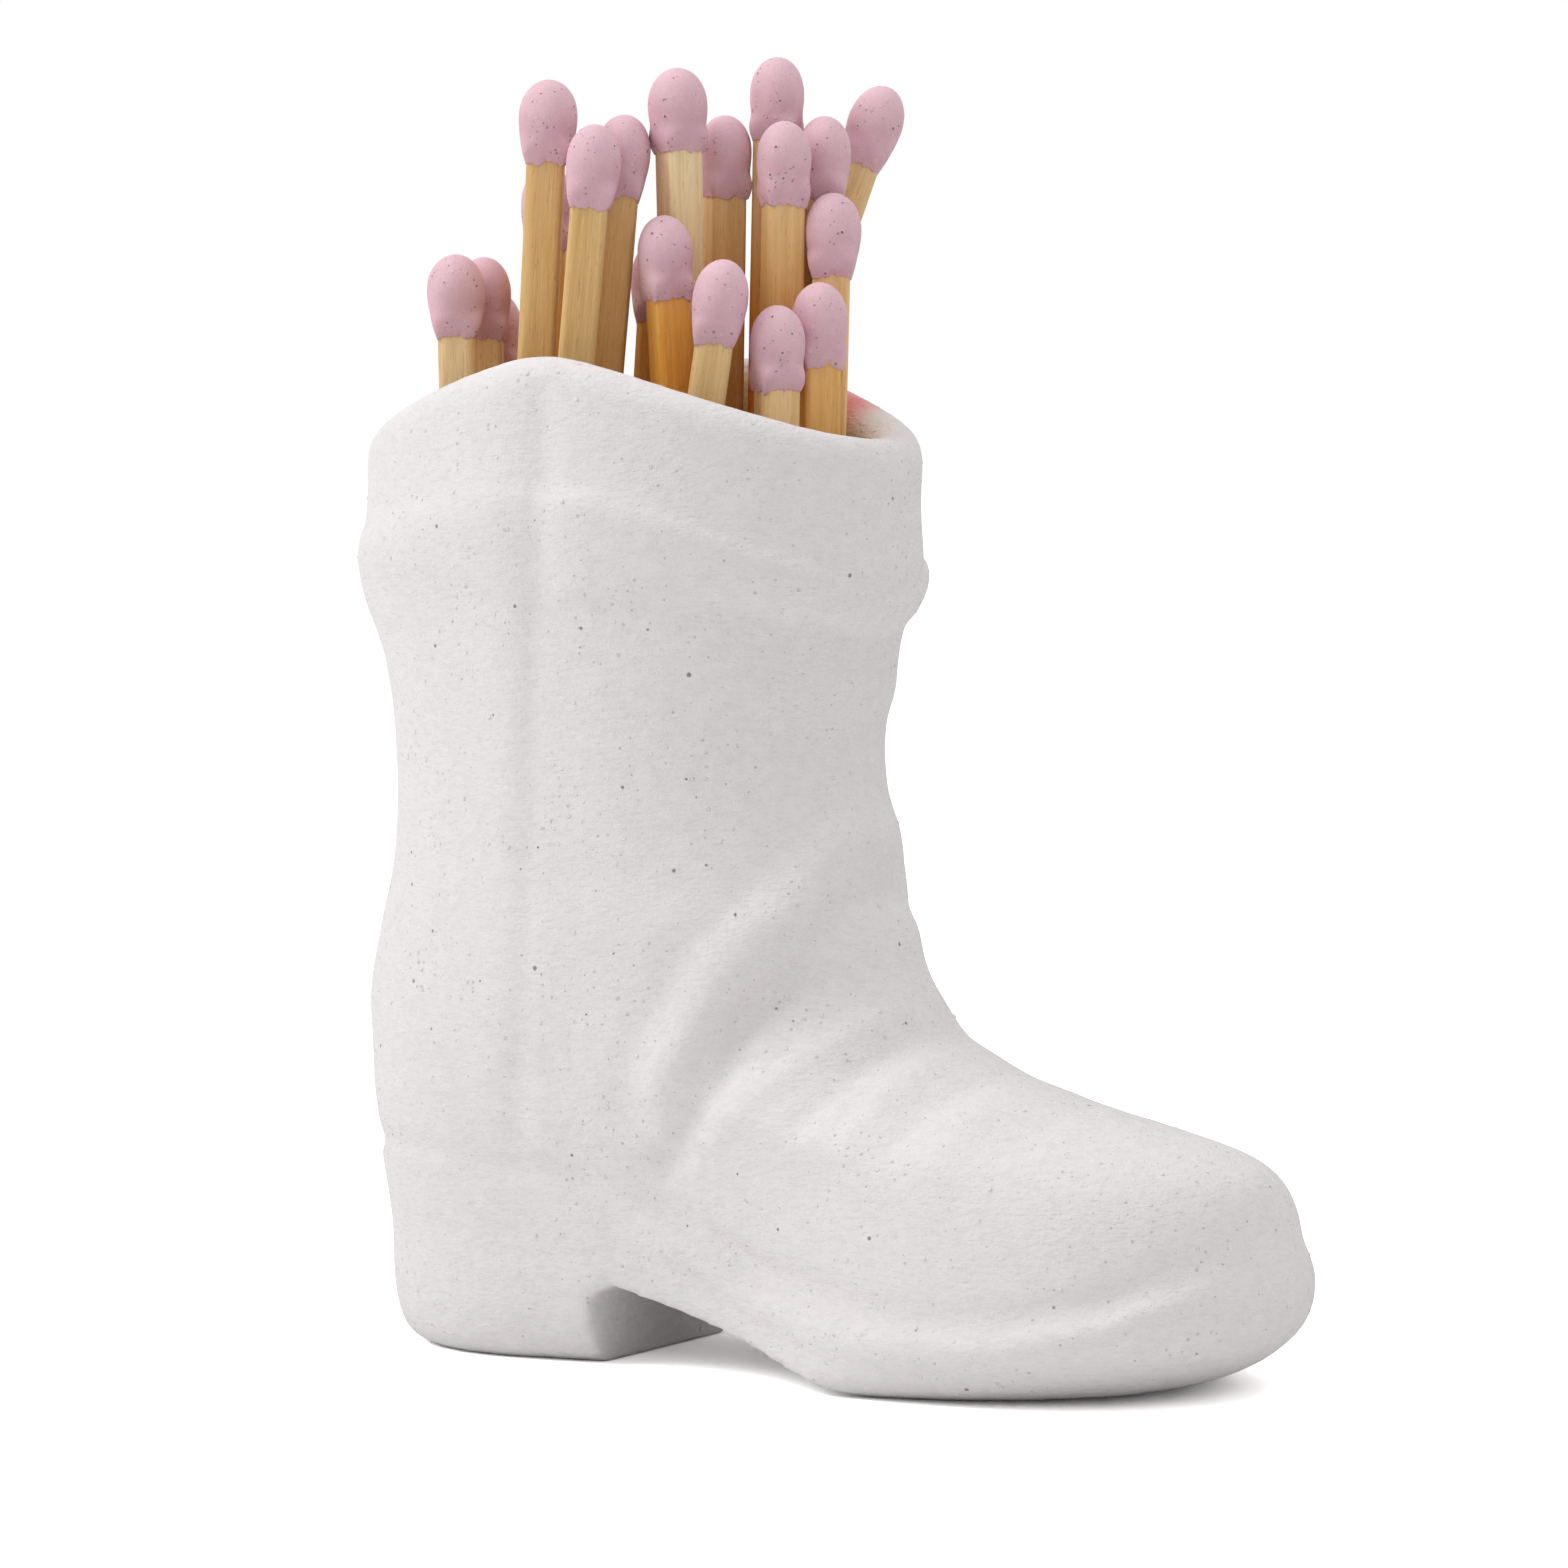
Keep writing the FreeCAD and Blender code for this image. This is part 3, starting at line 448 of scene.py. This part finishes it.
def carve(mesh):
    """Fine folds, seams and the slight waviness of a hand-finished casting."""
    mesh.update()
    count = len(mesh.vertices)
    at, outward = numpy.empty(count * 3), numpy.empty(count * 3)
    mesh.vertices.foreach_get("co", at)
    mesh.vertices.foreach_get("normal", outward)
    at, outward = at.reshape(-1, 3) / MM, outward.reshape(-1, 3)
    waves = [noise.noise(Vector(p) / 5.0) * 0.05 + noise.noise(Vector(p) / 1.5) * 0.02 for p in at]
    rise = cast_relief(*at.T) * is_outside(at, outward)
    at += outward * (rise - SKIN_INSET - numpy.array(waves))[:, None]
    at[:, 2] = numpy.maximum(at[:, 2], 0.0)
    mesh.vertices.foreach_set("co", (at * MM).ravel())
    mesh.update()


def grain_tree(material):
    """Geometry Nodes: small flattened grains scattered over a skin, pressed into it."""
    tree = bpy.data.node_groups.new("clay_grains", "GeometryNodeTree")
    sockets = {}
    for name, kind in (("Skin", "NodeSocketGeometry"), ("Grain Radius", "NodeSocketFloat"),
                       ("Grain Spacing", "NodeSocketFloat"), ("Lowest", "NodeSocketFloat"),
                       ("Seed", "NodeSocketInt")):
        sockets[name] = tree.interface.new_socket(name=name, in_out="INPUT", socket_type=kind).identifier
    tree.interface.new_socket(name="Grains", in_out="OUTPUT", socket_type="NodeSocketGeometry")

    def add(kind, **links):
        """One node, with its inputs as values or links."""
        node = tree.nodes.new(kind)
        for socket, source in links.items():
            place = node.inputs[socket.replace("_", " ")]
            if isinstance(source, bpy.types.NodeSocket):
                tree.links.new(source, place)
            else:
                place.default_value = source
        return node

    given = tree.nodes.new("NodeGroupInput").outputs
    at = add("GeometryNodeInputPosition")
    height = add("ShaderNodeSeparateXYZ", Vector=at.outputs["Position"])
    above = add("FunctionNodeCompare", A=height.outputs["Z"], B=given["Lowest"])
    scatter = add("GeometryNodeDistributePointsOnFaces")
    scatter.distribute_method = "POISSON"
    tree.links.new(given["Skin"], scatter.inputs["Mesh"])
    tree.links.new(above.outputs["Result"], scatter.inputs["Selection"])
    tree.links.new(given["Grain Spacing"], scatter.inputs["Distance Min"])
    scatter.inputs["Density Max"].default_value = 1.0 / (GRAIN_SPACING * MM) ** 2
    tree.links.new(given["Seed"], scatter.inputs["Seed"])
    grain = add("GeometryNodeMeshIcoSphere", Radius=given["Grain Radius"], Subdivisions=1)
    size = add("FunctionNodeRandomValue")
    size.data_type = "FLOAT"
    size.inputs[2].default_value, size.inputs[3].default_value = GRAIN_SIZES
    tree.links.new(given["Seed"], size.inputs["Seed"])
    flat = add("ShaderNodeVectorMath")
    flat.operation = "SCALE"
    flat.inputs[0].default_value = GRAIN_FORM
    tree.links.new(size.outputs[1], flat.inputs["Scale"])
    placed = add("GeometryNodeInstanceOnPoints", Points=scatter.outputs["Points"],
                 Instance=grain.outputs["Mesh"], Rotation=scatter.outputs["Rotation"],
                 Scale=flat.outputs["Vector"])
    real = add("GeometryNodeRealizeInstances", Geometry=placed.outputs["Instances"])
    soft = add("GeometryNodeSetShadeSmooth", Geometry=real.outputs["Geometry"])
    painted = add("GeometryNodeSetMaterial", Geometry=soft.outputs["Geometry"], Material=material)
    out = tree.nodes.new("NodeGroupOutput")
    tree.links.new(painted.outputs["Geometry"], out.inputs["Grains"])
    return tree, sockets


def make_grains(boot, material):
    """Grains that stand out of the boot's clay, as one plain mesh."""
    tree, sockets = grain_tree(material)
    piece = new_object("boot_grains", boot.data.copy())
    scatter = piece.modifiers.new("grains", "NODES")
    scatter.node_group = tree
    scatter[sockets["Grain Radius"]] = GRAIN_RADIUS * MM
    scatter[sockets["Grain Spacing"]] = GRAIN_SPACING * MM
    scatter[sockets["Lowest"]] = GRAINS_ABOVE * MM
    scatter[sockets["Seed"]] = GRAIN_SEED
    return applied(piece)


# Matches
def match_frame(number):
    """Foot, direction and sides of one match, measured from its solid."""
    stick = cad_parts["match_%02d_stick" % number].data
    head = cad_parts["match_%02d_head" % number].data
    points = [v.co.copy() for v in stick.vertices]
    middle_stick = sum(points, Vector()) / len(points)
    middle_head = sum((v.co for v in head.vertices), Vector()) / len(head.vertices)
    up = (middle_head - middle_stick).normalized()
    lowest = min(points, key=lambda p: p.dot(up))
    highest = max(points, key=lambda p: p.dot(up))
    top = [p for p in points if (highest - p).dot(up) < 0.02 * MM]
    centre = sum(top, Vector()) / len(top)
    corner = top[0] - centre
    corner = (corner - up * corner.dot(up)).normalized()
    side = Matrix.Rotation(math.radians(45.0), 3, up) @ corner
    foot = centre - up * (centre - lowest).dot(up)
    across = up.cross(side)
    width = 2.0 * max((v.co - foot - up * (v.co - foot).dot(up)).length for v in head.vertices)
    return foot, side, across, up, width / MM


def match_point(place, x, y, z):
    """A point given in millimetres on a match, moved to where the match stands."""
    foot, side, across, up = place
    return foot + (side * x + across * y + up * z) * MM


def square_ring(half, edge, count):
    """Rounded square as (x, y) points, count for each side."""
    points = []
    for quarter in range(4):
        turn = Matrix.Rotation(math.radians(90.0 * quarter), 2)
        for k in range(count):
            angle = math.radians(-45.0 + 90.0 * k / count)
            x, y = half, half * math.tan(angle)
            corner = max(abs(y) - (half - edge), 0.0)
            x -= edge - math.sqrt(max(edge * edge - corner * corner, 0.0))
            points.append(turn @ Vector((x, y)))
    return points


def rings_to_mesh(name, rings):
    """Closed tube through rings of points, with a fan at each end."""
    points = [p for ring in rings for p in ring]
    count = len(rings[0])
    faces = []
    for row in range(len(rings) - 1):
        for k in range(count):
            a, b = row * count + k, row * count + (k + 1) % count
            faces.append((a, b, b + count, a + count))
    for ring, start, flip in ((rings[0], 0, True), (rings[-1], (len(rings) - 1) * count, False)):
        centre = len(points)
        points.append(sum(ring, Vector()) / count)
        for k in range(count):
            face = (start + k, start + (k + 1) % count, centre)
            faces.append(face[::-1] if flip else face)
    mesh = bpy.data.meshes.new(name)
    mesh.from_pydata(points, [], faces)
    mesh.update()
    return mesh


def make_stick(number, place, material, tone, painted_glow):
    """Square splint with soft split edges, fibres and a slightly uneven cut."""
    seed = Vector((number * 7.3, number * 3.1, number * 11.7))
    length = MATCH_LENGTH - SPLINT_TOP
    rings, grain, painted_glows = [], [], []
    for row in range(SPLINT_ROWS + 1):
        z = length * row / SPLINT_ROWS
        ring = []
        for point in square_ring(STICK_WIDTH / 2.0, STICK_EDGE, SPLINT_SIDE_POINTS):
            outward = point.normalized()
            place_on_grain = Vector((point.x, point.y, z * 0.05)) + seed
            dent = noise.noise(place_on_grain * 2.2) * 0.035 + noise.noise(place_on_grain * 0.5) * 0.03
            x = point.x - outward.x * (SPLINT_INSET + dent)
            y = point.y - outward.y * (SPLINT_INSET + dent)
            spot = match_point(place, x, y, z)
            ring.append(spot)
            grain.append(Vector((x, y, z)) + seed * 3.0)
            # Painted orange glow of bounced light, growing deeper in the bunch.
            painted_glows.append(painted_glow * ease(PAINTED_GLOW_FROM, PAINTED_GLOW_TO, spot.z / MM))
        rings.append(ring)
    grain += [Vector((0, 0, 0)) + seed * 3.0, Vector((0, 0, length)) + seed * 3.0]
    painted_glows += [0.0, 0.0]
    name = "match_%02d_splint" % number
    mesh = rings_to_mesh(name, rings)
    layer = mesh.attributes.new("along_stick", "FLOAT_VECTOR", "POINT")
    layer.data.foreach_set("vector", [c for p in grain for c in p])
    for title, values in (("wood_tone", [tone] * len(grain)), ("painted_glow", painted_glows)):
        layer = mesh.attributes.new(title, "FLOAT", "POINT")
        layer.data.foreach_set("value", values)
    mesh.materials.append(material)
    smooth(mesh)
    return new_object(name, mesh)


def bulb_reach(t, half):
    """Half width of a head at height t, which is 0 at its ragged foot and 1 at the tip."""
    if t > WIDEST_AT:
        rise = (t - WIDEST_AT) / (1.0 - WIDEST_AT)
        return half * math.sqrt(max(1.0 - rise ** 2.2, 0.0))
    fall = 1.0 - t / WIDEST_AT
    return half - (half - STICK_WIDTH / 2.0 - FILM) * fall ** 1.7


def make_head(number, place, width, material):
    """Dipped bulb, egg-shaped: square and ragged where it leaves the splint, round on top."""
    seed = Vector((number * 5.7, number * 9.2, number * 2.9))
    low = MATCH_LENGTH - HEAD_LENGTH
    rings, painted_top_lights = [], []
    for row in range(HEAD_ROWS + 1):
        t = min(math.sin(math.pi / 2.0 * row / HEAD_ROWS) ** 1.15, 0.9985)
        bulb = bulb_reach(t, width / 2.0)
        squareness = 2.0 + 12.0 * (1.0 - ease(0.0, 0.42, t)) ** 2
        ring = []
        for k in range(HEAD_POINTS):
            angle = 2.0 * math.pi * k / HEAD_POINTS
            c, s = math.cos(angle), math.sin(angle)
            reach = bulb * (abs(c) ** squareness + abs(s) ** squareness) ** (-1.0 / squareness)
            lump = noise.noise(Vector((c * 1.2, s * 1.2, t * 2.0)) + seed)
            pimple = noise.noise(Vector((c * 5.0, s * 5.0, t * 9.0)) + seed)
            reach *= 1.0 - (0.03 * (0.5 + lump) + 0.008 * pimple) * ease(0.0, 0.3, t)
            ragged = noise.noise(Vector((c * 2.5, s * 2.5, 0.0)) + seed) * 0.22
            ragged += noise.noise(Vector((c * 13.0, s * 13.0, 3.0)) + seed) * 0.22
            ragged -= 0.10 * (2.0 * c * s) ** 2
            z = low + HEAD_LENGTH * t + (0.2 + ragged) * (1.0 - ease(0.0, 0.15, t))
            ring.append(match_point(place, c * reach, s * reach, z))
            # Share of painted light from above, growing towards the tip.
            painted_top_lights.append(ease(0.35, 1.0, t))
        rings.append(ring)
    painted_top_lights += [0.0, 1.0]
    name = "match_%02d_bulb" % number
    mesh = rings_to_mesh(name, rings)
    layer = mesh.attributes.new("painted_top_light", "FLOAT", "POINT")
    layer.data.foreach_set("value", painted_top_lights)
    mesh.materials.append(material)
    smooth(mesh)
    return new_object(name, mesh)


def turned(place, degrees):
    """The same place on a match, turned about the match's own length."""
    foot, side, across, up = place
    turn = Matrix.Rotation(math.radians(degrees), 3, up)
    return foot, turn @ side, turn @ across, up


bisque = bisque_material()
wood = wood_material()
pink = head_material()

boot = cast_boot(bisque)
carve(boot.data)
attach(boot, "root")
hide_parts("boot")

grains = make_grains(boot, bisque)
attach(grains, "root")

for number, (tone, painted_glow, turn) in enumerate(SPLINTS, start=1):
    foot, side, across, up, width = match_frame(number)
    place = turned((foot, side, across, up), turn)
    splint = make_stick(number, place, wood, tone, painted_glow)
    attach(splint, "root")
    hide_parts("match_%02d_stick" % number)
    bulb = make_head(number, place, width, pink)
    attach(bulb, "root")
    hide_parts("match_%02d_head" % number)


# Stage
def make_floor():
    """Plain white floor that keeps the contact shadow and meets a white background."""
    mesh = bpy.data.meshes.new("floor")
    corners = [(x * FLOOR_REACH, y * FLOOR_REACH, 0) for x, y in ((-1, -1), (1, -1), (1, 1), (-1, 1))]
    mesh.from_pydata(corners, [], [(0, 1, 2, 3)])
    floor = new_object("floor", mesh)
    material = bpy.data.materials.new("floor_white")
    material.use_nodes = True
    tree = material.node_tree
    tree.nodes.clear()
    output = tree.nodes.new("ShaderNodeOutputMaterial")
    paint = tree.nodes.new("ShaderNodeBsdfDiffuse")
    paint.inputs["Color"].default_value = FLOOR_PAINT
    seen = tree.nodes.new("ShaderNodeBsdfDiffuse")
    seen.inputs["Color"].default_value = FLOOR_SEEN
    rays = tree.nodes.new("ShaderNodeLightPath")
    choose = tree.nodes.new("ShaderNodeMixShader")
    tree.links.new(rays.outputs["Is Camera Ray"], choose.inputs[0])
    tree.links.new(paint.outputs[0], choose.inputs[1])
    tree.links.new(seen.outputs[0], choose.inputs[2])
    tree.links.new(choose.outputs[0], output.inputs["Surface"])
    mesh.materials.append(material)


def make_world():
    """Even soft light from all round, white where the camera or a reflection sees it."""
    world = bpy.data.worlds.new("soft_room")
    bpy.context.scene.world = world
    world.use_nodes = True
    tree = world.node_tree
    tree.nodes.clear()
    output = tree.nodes.new("ShaderNodeOutputWorld")
    light = tree.nodes.new("ShaderNodeBackground")
    light.inputs["Color"].default_value = WHITE
    light.inputs["Strength"].default_value = ROOM_LIGHT
    seen = tree.nodes.new("ShaderNodeBackground")
    seen.inputs["Color"].default_value = WHITE
    seen.inputs["Strength"].default_value = 1.0
    rays = tree.nodes.new("ShaderNodeLightPath")
    either = tree.nodes.new("ShaderNodeMath")
    either.operation = "MAXIMUM"
    choose = tree.nodes.new("ShaderNodeMixShader")
    tree.links.new(rays.outputs["Is Camera Ray"], either.inputs[0])
    tree.links.new(rays.outputs["Is Glossy Ray"], either.inputs[1])
    tree.links.new(either.outputs[0], choose.inputs[0])
    tree.links.new(light.outputs[0], choose.inputs[1])
    tree.links.new(seen.outputs[0], choose.inputs[2])
    tree.links.new(choose.outputs[0], output.inputs["Surface"])


def add_lamp(name, place, width, power):
    """Square soft lamp that looks at the boot."""
    lamp = bpy.data.lights.new(name, "AREA")
    lamp.shape = "SQUARE"
    lamp.size = width
    lamp.energy = power
    item = bpy.data.objects.new(name, lamp)
    item.location = place
    item.rotation_euler = (Vector(LAMP_AIM) - Vector(place)).to_track_quat("-Z", "Y").to_euler()
    bpy.context.scene.collection.objects.link(item)


def make_camera():
    """Camera at the photograph's place: to the side of the boot, looking slightly down."""
    lens = bpy.data.cameras.new("camera")
    lens.sensor_width = 36.0
    lens.lens = CAMERA_LENS
    lens.clip_start = 0.01
    camera = bpy.data.objects.new("camera", lens)
    camera.location = CAMERA_AT
    camera.rotation_euler = (math.radians(90.0 - CAMERA_DOWN), 0.0, math.radians(CAMERA_TURN))
    bpy.context.scene.collection.objects.link(camera)
    bpy.context.scene.camera = camera


make_floor()
make_world()
add_lamp("key", *KEY_LAMP)
add_lamp("top", *TOP_LAMP)
make_camera()
bpy.context.scene.view_settings.view_transform = "Standard"
